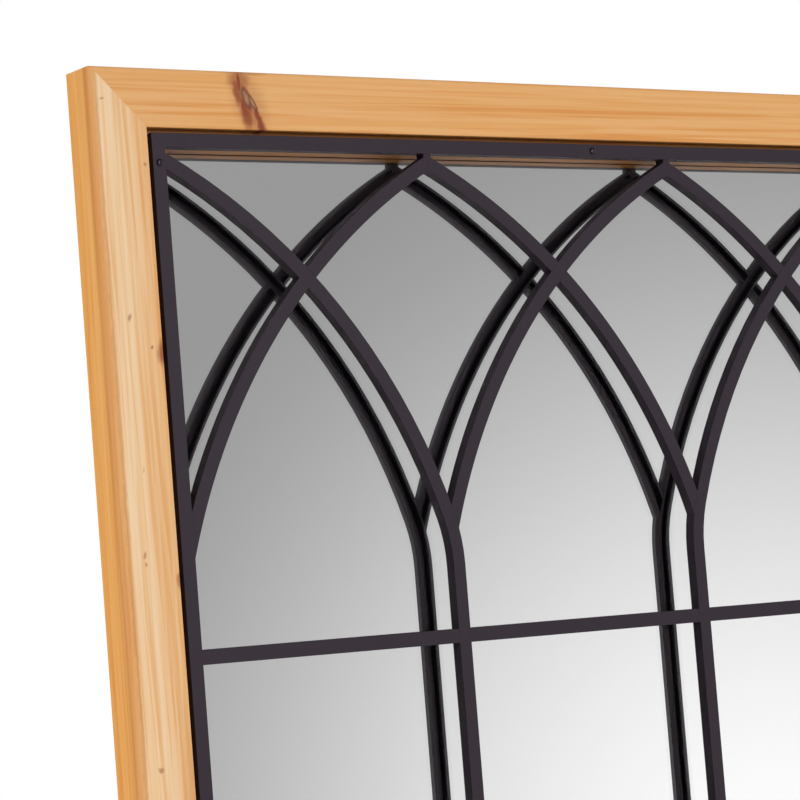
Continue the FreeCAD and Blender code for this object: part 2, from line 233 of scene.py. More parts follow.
sky_shade = add_node(tree, "ValToRGB", {"stops": sky_greys}, {"Fac": level})
sky = add_node(tree, "Background", {}, {"Color": sky_shade.outputs[0], "Strength": 1.0})
backdrop = add_node(tree, "Background", {}, {"Color": linear("#ffffff"), "Strength": 1.0})
path = add_node(tree, "LightPath", {}, {}).outputs
mirrored = {0: path["Is Glossy Ray"], 1: path["Is Transmission Ray"]}
mirrored = add_node(tree, "Math", {"operation": "MAXIMUM"}, mirrored)
seen = {0: path["Is Camera Ray"], 1: sky.outputs[0], 2: backdrop.outputs[0]}
seen = add_node(tree, "MixShader", {}, seen)
lit = {0: mirrored.outputs[0], 1: seen.outputs[0], 2: reflected.outputs[0]}
lit = add_node(tree, "MixShader", {}, lit)
add_node(tree, "OutputWorld", {}, {"Surface": lit.outputs[0]})
print("world nodes:", len(tree.nodes))

# %% [markdown]
# ## The lamps
# One soft lamp almost straight ahead gives the front faces their light and reaches into the
# narrow gap around the grille. A second one stands level with the wall on the left: it
# brightens the frame's outer side but leaves the left sides of the bars in shade, as in the
# photograph. A third stands behind on the right and shows the back to whoever walks round the
# mirror; the photograph sees nothing of it. All three stand well outside the floor, because a
# lamp close above it would burn it out to white.

# %% Lamps
lamp_aim = Vector((0.0, 0.0, -0.2))
lamps = {
    "key_softbox": {"place": (1.2, -7.6, 1.4), "size": 2.4, "power": 250.0},
    "side_softbox": {"place": (-6.8, 2.0, 0.8), "size": 3.6, "power": 265.0},
    "rear_softbox": {"place": (4.4, 5.8, 0.8), "size": 3.6, "power": 200.0},
}
for name, lamp in lamps.items():
    light = bpy.data.lights.new(name, "AREA")
    light.size = lamp["size"]
    light.energy = lamp["power"]
    holder = bpy.data.objects.new(name, light)
    bpy.context.collection.objects.link(holder)
    place = Vector(lamp["place"])
    turn = (lamp_aim - place).to_track_quat("-Z", "Y").to_matrix().to_4x4()
    holder.matrix_world = Matrix.Translation(place) @ turn
print("lamps:", ", ".join(lamps))

# %% [markdown]
# ## Softened edges
# No real edge is perfectly sharp: sandpaper takes the corner off wood, and paint draws back
# from the corner of steel. The CAD faces come split along each edge and cut into triangles, so
# a Weld modifier joins them again and a planar Decimate melts the triangles of each flat face
# into one. Then a Bevel rounds what is sharp, and weighted normals keep the flat faces flat.

# %% Edge helper
weld_distance = 0.000001
sharp_angle = math.radians(35)
flat_angle = math.radians(0.5)
bevel_steps = 2


def soften(node, width_mm):
    """Rounds the sharp edges of a CAD node by a width in millimetres."""
    piece = nodes[node]
    weld = piece.modifiers.new("joined_faces", "WELD")
    weld.merge_threshold = weld_distance
    melt = piece.modifiers.new("whole_faces", "DECIMATE")
    melt.decimate_type = "DISSOLVE"
    melt.angle_limit = flat_angle
    bevel = piece.modifiers.new("soft_edges", "BEVEL")
    bevel.width = width_mm / 1000
    bevel.segments = bevel_steps
    bevel.limit_method = "ANGLE"
    bevel.angle_limit = sharp_angle
    piece.modifiers.new("flat_faces", "WEIGHTED_NORMAL")


print("edges sharper than", round(math.degrees(sharp_angle)), "degrees are rounded")

# %% [markdown]
# ## Fir: where a point lies in the log
# Fir boards are sawn from a log of yearly rings, and the rings pass through the whole board, so
# the pattern has to agree on the face, the side and the cut end. A flat wood texture can't do
# that. Here every point is measured in millimetres across the grain, in depth and along the
# grain, and bent a little, because no trunk grows quite straight.

# %% Fir: places
FAR = 1e6   # a size so large that distance along that axis counts for nothing
front_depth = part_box("top_rail")[0][1] * 1000   # millimetres


def wood_place(tree, grain_axis):
    """Where a point lies in millimetres: across the grain, in depth and along the grain."""
    place = add_node(tree, "TexCoord", {}, {}).outputs["Object"]
    scaled = add_node(tree, "VectorMath", {"operation": "SCALE"}, {0: place, "Scale": 1000.0})
    axes = add_node(tree, "SeparateXYZ", {}, {0: scaled.outputs[0]})
    across = axes.outputs["Z" if grain_axis == "X" else "X"]
    turned = {"X": across, "Y": axes.outputs["Y"], "Z": axes.outputs[grain_axis]}
    return add_node(tree, "CombineXYZ", {}, turned).outputs[0]


def streaks(tree, place, across, along, detail):
    """Noise of a given size in millimetres, drawn out along the grain."""
    scale = (1 / across, 1 / across, 1 / along)
    stretched = add_node(tree, "Mapping", {}, {"Vector": place, "Scale": scale})
    noise = {"Vector": stretched.outputs[0], "Scale": 1.0, "Detail": detail}
    return add_node(tree, "TexNoise", {}, noise)


def bent(tree, place, across, along, reach):
    """The same place, pushed to and fro across and along by up to half of reach millimetres."""
    push = streaks(tree, place, across, along, 2.0).outputs["Color"]
    centred = {0: push, 1: (0.5, 0.5, 0.5)}
    centred = add_node(tree, "VectorMath", {"operation": "SUBTRACT"}, centred)
    amount = {0: centred.outputs[0], 1: (reach, 0.0, reach), 2: place}
    return add_node(tree, "VectorMath", {"operation": "MULTIPLY_ADD"}, amount).outputs[0]


print("the frame's front face lies at", round(front_depth, 2), "mm")

# %% [markdown]
# ## Fir: knots and stains
# A knot is a branch that the trunk grew round, and a stain is resin, or a knot just under the
# face. Both are ovals here, each given by its place, size and lean, so that they can be moved
# one by one. Noise could scatter them too, but not put them where the real board has them.

# %% Fir: knots and stains
stain_core, stain_rim = 0.3, 1.15   # where a stain begins and ends to fade, in its half sizes


def spot_distance(tree, place, along, across, half_along, half_across, lean):
    """How far a point is from the middle of an oval spot: 1 at its rim."""
    oval = {
        "Vector": place,
        "Location": (across, 0.0, along),
        "Rotation": (0.0, math.radians(lean), 0.0),
        "Scale": (half_across, FAR, half_along),
    }
    local = add_node(tree, "Mapping", {"vector_type": "TEXTURE"}, oval).outputs[0]
    return add_node(tree, "VectorMath", {"operation": "LENGTH"}, {0: local}).outputs["Value"]


def knot_distance(tree, place, knots):
    """How far a point is from the nearest knot: 1 at its rim."""
    nearest = FAR
    for knot in knots:
        nearer = {0: nearest, 1: spot_distance(tree, place, *knot)}
        nearest = add_node(tree, "Math", {"operation": "MINIMUM"}, nearer).outputs[0]
    return nearest


def stain_strength(tree, place, stains):
    """How strongly a point is tinted: where stains overlap, the strongest counts."""
    strongest = 0.0
    for *spot, strength in stains:
        fading = {
            "Value": spot_distance(tree, place, *spot),
            "From Min": stain_core, "From Max": stain_rim, "To Min": strength, "To Max": 0.0,
        }
        stronger = {0: strongest, 1: add_node(tree, "MapRange", SMOOTH_FADE, fading).outputs[0]}
        strongest = add_node(tree, "Math", {"operation": "MAXIMUM"}, stronger).outputs[0]
    return strongest


print("stains fade out at", stain_rim, "of their size")

# %% [markdown]
# ## Fir: yearly rings
# Each ring is pale where the tree grew fast in spring and ends in a thin dark line of late
# wood. The rings are circles round the pith, and they bulge round a knot. A wave texture would
# give even stripes; the distance from the pith, cut into ring widths, gives lines that spread
# on the face and crowd at the edges, as sawn boards have them.

# %% Fir: rings
ring_width = 3.4   # millimetres of growth in a year
pith_tilt = (0.012, -0.009, 0.0)   # radians between the log's axis and the board
year_patch = 6.25   # millimetres over which good and poor years take turns
year_drift = 3.0   # rings by which they shift the lines
knot_reach = 2.4   # how far from its middle a knot bends the rings, in its own half sizes
knot_bulge = 2.6   # rings by which they bulge at its middle
late_growth = [   # strength of the late wood through one year
    (0.0, "#000000"), (0.45, "#303030"), (0.82, "#d0d0d0"), (0.92, "#c0c0c0"), (1.0, "#000000"),
]


def ring_lines(tree, place, pith, knot):
    """Strength of the late wood, from 0 to 1."""
    axis = {
        "Vector": bent(tree, place, across=45.0, along=350.0, reach=9.0),
        "Location": (*pith, 0.0),
        "Rotation": pith_tilt,
        "Scale": (1.0, 1.0, FAR),
    }
    local = add_node(tree, "Mapping", {"vector_type": "TEXTURE"}, axis).outputs[0]
    radius = add_node(tree, "VectorMath", {"operation": "LENGTH"}, {0: local}).outputs["Value"]
    uneven = {"W": radius, "Scale": 1 / year_patch, "Detail": 2.0}
    years = add_node(tree, "TexNoise", {"noise_dimensions": "1D"}, uneven)
    bulge = {"Value": knot, "From Max": knot_reach, "To Min": knot_bulge, "To Max": 0.0}
    round_knot = add_node(tree, "MapRange", SMOOTH_FADE, bulge)
    count = {0: radius, 1: 1 / ring_width, 2: round_knot.outputs[0]}
    rings = add_node(tree, "Math", {"operation": "MULTIPLY_ADD"}, count)
    drift = {0: years.outputs[0], 1: year_drift, 2: rings.outputs[0]}
    shifted = add_node(tree, "Math", {"operation": "MULTIPLY_ADD"}, drift)
    part = add_node(tree, "Math", {"operation": "FRACT"}, {0: shifted.outputs[0]})
    return add_node(tree, "ValToRGB", {"stops": late_growth}, {"Fac": part.outputs[0]}).outputs[0]


print("ring width", ring_width, "mm")

# %% [markdown]
# ## Fir: sapwood and heartwood
# The outer rings of a log are pale sapwood and the inner ones more orange heartwood, and a
# board often holds some of each. One flat colour would look like plastic, so each board has a
# bed of sapwood, an oval seen along the grain, in heartwood that changes from the front face
# to the rear. That change is partly painted shade: it makes the sides deeper and more orange
# than the front face.

# %% Fir: early wood
sapwood = "#ffdfb7"
sap_core, sap_rim = 0.3, 1.8   # where sapwood begins and ends to fade, in its half sizes
heartwood_reach = 40.0   # millimetres behind the front face
heartwood_and_side_shade = [   # from the front face, at 0, to that depth, at 1; partly painted shade on the sides
    (0.0, "#f2ba7b"), (0.04, "#e0a265"), (0.22, "#d69954"),
    (0.34, "#ebb066"), (0.88, "#e8a95a"), (0.91, "#ebb97f"),
]


def early_wood(tree, place, pale, rim):
    """The colour of early wood. Pale is the middle and half size of the board's sapwood, across
    and in depth. Rim is where, across the grain, the heartwood at the outer edge ends and where
    sapwood is full."""
    wavy = bent(tree, place, across=30.0, along=260.0, reach=3.0)
    (across, depth), (half_across, half_depth) = pale
    bed = {
        "Vector": wavy,
        "Location": (across, depth, 0.0),
        "Scale": (half_across, half_depth, FAR),
    }
    local = add_node(tree, "Mapping", {"vector_type": "TEXTURE"}, bed).outputs[0]
    reach = add_node(tree, "VectorMath", {"operation": "LENGTH"}, {0: local}).outputs["Value"]
    fading = {
        "Value": reach, "From Min": sap_core, "From Max": sap_rim, "To Min": 1.0, "To Max": 0.0,
    }
    sap = add_node(tree, "MapRange", SMOOTH_FADE, fading).outputs[0]
    axes = add_node(tree, "SeparateXYZ", {}, {0: wavy}).outputs
    inside = {"Value": axes["X"], "From Min": rim[0], "From Max": rim[1]}
    inside = add_node(tree, "MapRange", SMOOTH_FADE, inside).outputs[0]
    sap = add_node(tree, "Math", {"operation": "MULTIPLY"}, {0: sap, 1: inside}).outputs[0]
    # Partly painted shade: by depth behind the front face, the sides come out deeper than the
    # front.
    rear_depth = front_depth + heartwood_reach
    behind = {"Value": axes["Y"], "From Min": front_depth, "From Max": rear_depth}
    behind = add_node(tree, "MapRange", {}, behind).outputs[0]
    heart_and_side_shade = add_node(tree, "ValToRGB", {"stops": heartwood_and_side_shade}, {"Fac": behind}).outputs[0]
    early = {MIX_FACTOR: sap, MIX_FIRST: heart_and_side_shade, MIX_SECOND: linear(sapwood)}
    return add_node(tree, "Mix", BLEND_COLOURS, early).outputs[MIX_RESULT]


print("heartwood shades:", len(heartwood_and_side_shade))

# %% [markdown]
# ## Fir: streaks and fibres
# Denser streaks and fine fibres run along the board, and the late wood is strongest where a
# streak is dense. Each of them lets through less light than early wood, so their colours
# multiply it. Painting them over it would be as short, but would hide the sapwood below.

# %% Fir: grain
warm_streak = "#fbf1e1"   # what streaks of denser wood let through of the colour of early wood
late_wood = "#f3dfc4"   # and what late wood lets through
streak_across, streak_along = 3.4, 170.0   # millimetres
streak_noise = (0.36, 0.62)   # noise below the first is loose wood, above the second dense wood
fibre_across, fibre_along = 0.9, 45.0   # millimetres; real fibres are too fine to show
fibre_share = 0.5   # how much fibres add to the grain
grain_floor = 0.15   # grain weaker than this doesn't show


def grained(tree, place, early, rings):
    """Early wood with streaks, late wood and fibres: its colour, its grain and its fibres."""
    dense = streaks(tree, place, streak_across, streak_along, 3.0).outputs[0]
    dense = {"Value": dense, "From Min": streak_noise[0], "From Max": streak_noise[1]}
    dense = add_node(tree, "MapRange", {}, dense).outputs[0]
    streaked = {MIX_FACTOR: dense, MIX_FIRST: early, MIX_SECOND: linear(warm_streak)}
    streaked = add_node(tree, "Mix", MULTIPLY_COLOURS, streaked).outputs[MIX_RESULT]
    fibres = streaks(tree, place, fibre_across, fibre_along, 4.0).outputs[0]
    lines = add_node(tree, "Math", {"operation": "MULTIPLY"}, {0: rings, 1: dense}).outputs[0]
    grain = {0: fibres, 1: fibre_share, 2: lines}
    grain = add_node(tree, "Math", {"operation": "MULTIPLY_ADD", "use_clamp": True}, grain)
    grain = {"Value": grain.outputs[0], "From Min": grain_floor, "From Max": 1.0}
    grain = add_node(tree, "MapRange", {}, grain).outputs[0]
    wood = {MIX_FACTOR: grain, MIX_FIRST: streaked, MIX_SECOND: linear(late_wood)}
    wood = add_node(tree, "Mix", MULTIPLY_COLOURS, wood).outputs[MIX_RESULT]
    return wood, grain, fibres


print("fibres drawn", fibre_across, "mm wide")

# %% [markdown]
# ## Fir: the finish
# The frame is fir, planed, sanded and lacquered with a clear satin coat, which gives a soft
# sheen that never mirrors. Knots are red-brown with a dark rim. The step behind the grille is
# drawn darker than the face, as painted shade for its place behind the bars. One function makes
# each board's finish, because each was sawn from another part of a log; one material for all four
# would repeat the same knots.

# %% Fir: lacquered board
face_width = 43.6   # millimetres from a board's outer edge to the step behind the grille
lip_blend = 1.0   # millimetres over which the face's colour turns into the step's
lip_painted_shade = "#d3c6b8"   # painted shade: the step behind the grille is drawn darker, for the shade of the bars
stain_red = "#8c3a1d"
knot_span = 2.0   # the colours below reach from a knot's middle, at 0, to twice its size, at 1
knot_colours = [
    (0.0, "#ac8a66"), (0.2, "#a27a56"), (0.36, "#8c5840"), (0.45, "#744030"),
    (0.53, "#83452f"), (0.62, "#964f2f"), (0.8, "#a65c34"),
]
knot_end, knot_cover = 1.6, 0.92   # where a knot has faded into the wood, and how much it hides
noise_low, noise_high = 0.3, 0.7   # noise rarely leaves these values
fir_roughness = (0.42, 0.54)
fibre_relief = 0.0001   # metres


# Lacquered fir: warm and a little glossy, duller along some fibres than along others.
def lacquered_fir(name, board):
    """A board's finish, from where it lies, where its log's pith was, and its knots and stains."""
    material, tree = new_material(name)
    place = wood_place(tree, board["grain"])
    rim = [board["edge"] + board["inward"] * depth for depth in board["rim"]]
    lip_start = board["edge"] + board["inward"] * face_width
    lip_end = lip_start + board["inward"] * lip_blend
    ragged = bent(tree, place, across=5.0, along=8.0, reach=3.6)
    knot = knot_distance(tree, ragged, board["knots"])
    rings = ring_lines(tree, place, board["pith"], knot)
    early = early_wood(tree, place, board["pale"], rim)
    wood, grain, fibres = grained(tree, place, early, rings)
    across = add_node(tree, "SeparateXYZ", {}, {0: place}).outputs["X"]
    # Painted shade: the step behind the grille, which lies in the shade of the bars, is drawn
    # darker.
    step = {"Value": across, "From Min": lip_start, "From Max": lip_end}
    step = add_node(tree, "MapRange", {}, step).outputs[0]
    wood = {MIX_FACTOR: step, MIX_FIRST: wood, MIX_SECOND: linear(lip_painted_shade)}
    wood = add_node(tree, "Mix", MULTIPLY_COLOURS, wood).outputs[MIX_RESULT]
    stain = stain_strength(tree, ragged, board["stains"])
    stained = {MIX_FACTOR: stain, MIX_FIRST: wood, MIX_SECOND: linear(stain_red)}
    stained = add_node(tree, "Mix", BLEND_COLOURS, stained).outputs[MIX_RESULT]
    share = add_node(tree, "Math", {"operation": "MULTIPLY"}, {0: knot, 1: 1 / knot_span})
    core = add_node(tree, "ValToRGB", {"stops": knot_colours}, {"Fac": share.outputs[0]})
    cover = {
        "Value": knot, "From Min": 1.0, "From Max": knot_end, "To Min": knot_cover, "To Max": 0.0,
    }
    cover = add_node(tree, "MapRange", SMOOTH_FADE, cover).outputs[0]
    colour = {MIX_FACTOR: cover, MIX_FIRST: stained, MIX_SECOND: core.outputs[0]}
    sheen = {
        "Value": fibres, "From Min": noise_low, "From Max": noise_high,
        "To Min": fir_roughness[0], "To Max": fir_roughness[1],
    }
    relief = {"Strength": 0.25, "Distance": fibre_relief, "Height": grain}
    finish_material(tree, {
        "Base Color": add_node(tree, "Mix", BLEND_COLOURS, colour).outputs[MIX_RESULT],
        "Roughness": add_node(tree, "MapRange", {}, sheen).outputs[0],
        "Normal": add_node(tree, "Bump", {}, relief).outputs[0],
        "IOR": 1.5,
        "Specular IOR Level": 0.2,
    })
    return material


print("knot colours:", len(knot_colours))

# %% [markdown]
# ## The four boards
# Two rails and two stiles meet in mitres at the corners. The upper rail has a large spike knot
# in two parts, with streaks of red resin round it. The left stile has stains that are too faint
# to be knots of their own. Each is listed by where it lies along and across the board, its half
# sizes and its lean, and a stain also by its strength.

# %% Boards: grain, knots and stains
rail_rim, stile_rim = (0.0, 1.0), (3.0, 6.6)   # millimetres from the outer edge into sapwood
low_mm, high_mm = ([length * 1000 for length in corner] for corner in (cad_low, cad_high))
boards = {
    "top_rail": {
        "grain": "X", "edge": high_mm[2], "inward": -1, "rim": rail_rim,
        "pith": (190.0, 25.0), "pale": ((150.0, 40.0), (20.0, 20.0)),
        "knots": [(-276.6, 229.6, 2.7, 8.0, 16.0), (-271.6, 226.2, 1.7, 6.6, 27.0)],
        "stains": [
            (-282.6, 241.0, 2.8, 14.0, 3.0, 0.95),
            (-282.4, 243.0, 12.0, 13.0, 0.0, 0.62),
            (-284.4, 234.5, 5.6, 16.0, 10.0, 0.86),
            (-279.0, 223.0, 4.4, 17.0, 16.0, 0.95),
            (-277.4, 216.5, 7.0, 14.0, 14.0, 0.88),
            (-267.6, 215.0, 3.6, 15.0, 23.5, 0.95),
            (-265.4, 209.0, 5.0, 8.0, 23.0, 0.95),
            (-272.5, 219.0, 10.0, 19.0, 22.0, 0.55),
            (-275.0, 226.0, 17.0, 30.0, 20.0, 0.3),
            (-278.0, 248.5, 22.0, 2.6, 0.0, 0.35),
        ],
    },
    "bottom_rail": {
        "grain": "X", "edge": low_mm[2], "inward": 1, "rim": rail_rim,
        "pith": (-1010.0, 15.0), "pale": ((-960.0, front_depth), (16.0, 12.0)),
        "knots": [(-130.0, -955.0, 7.0, 6.0, 20.0)],
        "stains": [(240.0, -968.0, 4.0, 3.5, 0.0, 0.5)],
    },
    "left_stile": {
        "grain": "Z", "edge": low_mm[0], "inward": 1, "rim": stile_rim,
        "pith": (-352.0, 12.0), "pale": ((-408.0, front_depth), (34.0, 1.3)),
        "knots": [(-610.0, -384.0, 6.0, 4.5, 10.0)],
        "stains": [
            (-365.0, -402.6, 1500.0, 1.7, 0.0, 0.16),
            (67.7, -388.6, 3.6, 1.9, 0.0, 0.55),
            (45.8, -371.8, 1.5, 1.3, 0.0, 0.7),
            (43.0, -363.0, 12.0, 6.0, 4.0, 0.8),
            (-520.0, -365.0, 330.0, 11.0, 0.0, 0.18),
            (-41.0, -386.2, 2.6, 0.8, 0.0, 0.45),
            (-102.1, -390.0, 2.8, 1.8, 0.0, 0.5),
            (-108.5, -389.9, 1.5, 1.4, 0.0, 0.5),
            (-121.0, -363.0, 8.0, 3.2, 0.0, 0.6),
            (-254.3, -389.4, 2.4, 2.4, 0.0, 0.55),
            (226.0, -398.3, 1.0, 2.4, 0.0, 0.5),
            (179.6, -366.5, 1.6, 1.3, 0.0, 0.5),
        ],
    },
    "right_stile": {
        "grain": "Z", "edge": high_mm[0], "inward": -1, "rim": stile_rim,
        "pith": (348.0, 20.0), "pale": ((388.0, front_depth), (19.0, 10.0)),
        "knots": [(-330.0, 392.0, 6.5, 5.0, -12.0)],
        "stains": [(120.0, 386.0, 3.0, 2.6, 0.0, 0.5), (-700.0, 380.0, 2.6, 2.0, 0.0, 0.5)],
    },
}
print("boards:", ", ".join(boards))

# %% [markdown]
# Each board gets a finish of its own, and its edges the small radius that sandpaper leaves. The
# radius could go into the solids as well, but there it would cost faces that only a close look
# repays.

# %% Boards: finish
mitre_edge = 0.22   # millimetres taken off by sandpaper before the boards were glued


def dress(node, material):
    """Gives a piece one material in place of what it came with."""
    mesh = nodes[node].data
    mesh.materials.clear()
    mesh.materials.append(material)


for node, board in boards.items():
    dress(node, lacquered_fir("lacquered_fir_" + node, board))
    soften(node, mitre_edge)
    print(node, "has", len(board["knots"]), "knots and", len(board["stains"]), "stains")

# %% [markdown]
# ## The black grille
# The bars are mild steel channel, welded, ground flush and powder coated in satin black. Such a
# coat is a thick plastic skin: it has the faint ripple of orange peel, a wide soft highlight
# and slightly rounded edges. A plain black would hide all that, so the graph has a ripple and a
# cloudy sheen. The rear faces, which only the mirror shows, are drawn a little lighter: painted
# light, for the light that the mirror throws back onto them.

# %% Powder coat
coat_ripple = 1.4   # millimetres from crest to crest
coat_ripple_height = 0.00004   # metres
coat_cloud = 35.0   # millimetres, the size of patches that are a little more or less glossy
coat_roughness = (0.46, 0.56)
# Painted light: the colour that faces looking to the wall are drawn in, lighter than the front.
rear_painted_light = "#575058"
rear_facing = (0.3, 0.9)   # from none to all painted light, by how far a face looks to the wall


def mottled(tree, patch, detail, dark, light):
    """Two colours in soft patches, sized in millimetres: the patches' strength and the colour."""
    place = add_node(tree, "TexCoord", {}, {}).outputs["Object"]
    patches = {"Vector": place, "Scale": 1000 / patch, "Detail": detail}
    patches = add_node(tree, "TexNoise", {}, patches).outputs[0]
    shade = {MIX_FACTOR: patches, MIX_FIRST: linear(dark), MIX_SECOND: linear(light)}
    return patches, add_node(tree, "Mix", BLEND_COLOURS, shade).outputs[MIX_RESULT]


# Powder coat: a dark violet grey with a gloss too wide to show the shape of a lamp.
powder_coat, tree = new_material("satin_black_powder_coat")
cloud, shade = mottled(tree, coat_cloud, 3.0, "#30262f", "#352b34")
place = add_node(tree, "TexCoord", {}, {}).outputs
# Painted light: faces that look to the wall are drawn lighter, for light the mirror throws back.
facing = add_node(tree, "SeparateXYZ", {}, {0: place["Normal"]}).outputs["Y"]
rear = {"Value": facing, "From Min": rear_facing[0], "From Max": rear_facing[1]}
rear = add_node(tree, "MapRange", {}, rear).outputs[0]
shade = {MIX_FACTOR: rear, MIX_FIRST: shade, MIX_SECOND: linear(rear_painted_light)}
sheen = {
    "Value": cloud, "From Min": noise_low, "From Max": noise_high,
    "To Min": coat_roughness[0], "To Max": coat_roughness[1],
}
ripple = {"Vector": place["Object"], "Scale": 1000 / coat_ripple, "Detail": 1.0}
ripple = add_node(tree, "TexNoise", {}, ripple).outputs[0]
relief = {"Strength": 0.3, "Distance": coat_ripple_height, "Height": ripple}
finish_material(tree, {
    "Base Color": add_node(tree, "Mix", BLEND_COLOURS, shade).outputs[MIX_RESULT],
    "Roughness": add_node(tree, "MapRange", {}, sheen).outputs[0],
    "Normal": add_node(tree, "Bump", {}, relief).outputs[0],
    "IOR": 1.5,
    "Specular IOR Level": 0.16,
})
print("ripple of the powder coat", coat_ripple, "mm")

# %% [markdown]
# The grille was welded together before it was sprayed, so all its bars share one coat, which
# leaves a small radius on every corner. One joined mesh would be quicker to paint, but then the
# bars could no longer be told apart.

# %% Bars
bar_words = ("grille_", "mullion", "arch", "crossbar")
coat_edge = 0.15   # millimetres

bars = [
    node for node in nodes
    if any(word in node for word in bar_words) and node != "grille_screws"
]
for node in bars:
    dress(node, powder_coat)
    soften(node, coat_edge)
print("painted bars:", len(bars))

# %% [markdown]
# ## The mirror
# A mirror is a pane of clear float glass with a film of silver on its rear face. Light goes
# through the glass, meets the silver and comes back, so a reflection starts a few millimetres
# behind the surface. A shiny metal plate would be simpler, but would lose that step, which
# shows as the dark line where the wooden lip meets its own reflection.

# %% Glass
# Float glass: quite smooth and almost without colour, so the eye looks through it.
glass, tree = new_material("clear_float_glass")
finish_material(tree, {
    "Base Color": linear("#fefefe"), "Transmission Weight": 1.0, "Roughness": 0.0, "IOR": 1.52,
})
dress("mirror_glass", glass)
print("pane:", glass.name)

# %% [markdown]
# The film is far thinner than a hair, so a thin sheet stands for it. A sheet exactly on the
# pane's rear face would leave the renderer with two faces in one place, so it lies a little
# inside the glass, and a little short of its edges.

# %% Silver film
silver_inset = 0.0005
silver_depth = 0.00008   # from the pane's rear face to the sheet
silver_sheet = 0.00004

# Silver film: it throws back nearly all light and tints none of it.
silver, tree = new_material("wet_deposited_silver_film")
finish_material(tree, {"Base Color": linear("#f4f4f4"), "Metallic": 1.0, "Roughness": 0.0})

film_low, film_high = [Vector(corner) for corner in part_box("mirror_glass")]
inset = Vector((silver_inset, 0.0, silver_inset))
film_low, film_high = film_low + inset, film_high - inset
film_low.y = film_high.y - silver_depth - silver_sheet
film_high.y = film_high.y - silver_depth
sheet = bmesh.new()
bmesh.ops.create_cube(sheet, size=1.0)
bmesh.ops.scale(sheet, vec=film_high - film_low, verts=sheet.verts)
bmesh.ops.translate(sheet, vec=(film_low + film_high) / 2, verts=sheet.verts)
silver_mesh = bpy.data.meshes.new("silver_film")
sheet.to_mesh(silver_mesh)
sheet.free()
silver_mesh.materials.append(silver)
silver_film = bpy.data.objects.new("silver_film", silver_mesh)
bpy.context.collection.objects.link(silver_film)
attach(silver_film, "frame")
print("mirror", [round(side, 4) for side in film_high - film_low])

# %% [markdown]
# ## Behind the glass
# A thin felt pad keeps the silver from being scratched, and a hardboard back closes the frame.
# The rear of hardboard carries the print of the wire screen that it was pressed on. Modelled
# wires would cost thousands of faces for a relief that is hardly felt, so two crossed waves
# draw it.

# %% Felt and hardboard
felt_fibre = 0.8   # millimetres; real fibres are too fine to show
pulp_clump = 6.0   # millimetres
screen_pitch = 6.9115   # millimetres; real wires lie closer, but would not show
screen_height = 0.0002   # metres
wave_length = math.tau / 20   # a Wave texture repeats after this length at a scale of 1

# Needle felt: loose fibres scatter light, so it is a dull grey.
felt, tree = new_material("grey_needle_felt")
_, shade = mottled(tree, felt_fibre, 4.0, "#6b6a68", "#9a9996")
finish_material(tree, {"Base Color": shade, "Roughness": 0.95})
dress("glass_pad", felt)

# Hardboard: pressed wood pulp, brown, flecked and dull.
hardboard, tree = new_material("pressed_hardboard")
_, shade = mottled(tree, pulp_clump, 6.0, "#6f5138", "#947050")
place = add_node(tree, "TexCoord", {}, {}).outputs["Object"]
screen = 1.0
for direction in "XZ":
    settings = {"wave_type": "BANDS", "bands_direction": direction}
    wires = {"Vector": place, "Scale": wave_length * 1000 / screen_pitch}
    crossed = {0: screen, 1: add_node(tree, "TexWave", settings, wires).outputs["Fac"]}
    screen = add_node(tree, "Math", {"operation": "MULTIPLY"}, crossed).outputs[0]
relief = add_node(tree, "Bump", {}, {"Strength": 0.5, "Distance": screen_height, "Height": screen})
finish_material(tree, {"Base Color": shade, "Roughness": 0.75, "Normal": relief.outputs[0]})
dress("backing_board", hardboard)
print("hardboard screen pitch", screen_pitch, "mm")

# %% [markdown]
# ## Fittings on the back
# The hanging straps, rings, mitre wedges and rear screws are steel with a thin coat of zinc.
# The two bumpers are rubber. Both could be flat colours, but patches of another shade and gloss
# keep even such small pieces from looking like plastic.

# %% Zinc and rubber
zinc_cloud = 2.5   # millimetres
zinc_roughness = (0.24, 0.40)
dust_patch = 3.0   # millimetres
strap_edge, bumper_edge = 0.2, 0.7   # millimetres

# Zinc plate: bright but cloudy, with a slight blue cast, so it glints and doesn't mirror.
zinc, tree = new_material("bright_zinc_plated_steel")
cloud, shade = mottled(tree, zinc_cloud, 3.0, "#a9adb2", "#d3d6d8")
sheen = {
    "Value": cloud, "From Min": noise_low, "From Max": noise_high,
    "To Min": zinc_roughness[0], "To Max": zinc_roughness[1],
}
sheen = add_node(tree, "MapRange", {}, sheen).outputs[0]
finish_material(tree, {"Base Color": shade, "Metallic": 1.0, "Roughness": sheen})

# Moulded rubber: black, matt and a little dusty.
rubber, tree = new_material("moulded_black_rubber")
_, shade = mottled(tree, dust_patch, 5.0, "#1c1b1b", "#343231")
finish_material(tree, {"Base Color": shade, "Roughness": 0.8})

straps = ["left_hanger_strap", "right_hanger_strap"]
fittings = ["mitre_wedges", "left_hanger_ring", "right_hanger_ring"] + straps
for node in fittings:
    dress(node, zinc)
for node in straps:
    soften(node, strap_edge)
dress("wall_bumpers", rubber)
soften("wall_bumpers", bumper_edge)
print("zinc plated:", ", ".join(fittings))

# %% [markdown]
# ## Screws with a cross recess
# The CAD screws are plain, because there are many of them. A pan-headed screw is a turned part
# with a cross pressed into its head, so its outline is spun round its axis and the cross is cut
# out of it. One screw is made for each size and set down wherever the CAD model has one, each
# turned differently, as screws are when they are driven home.

# %% Where the CAD screws are
head_edge = 0.95   # share of the head's radius from which a point belongs to its rim


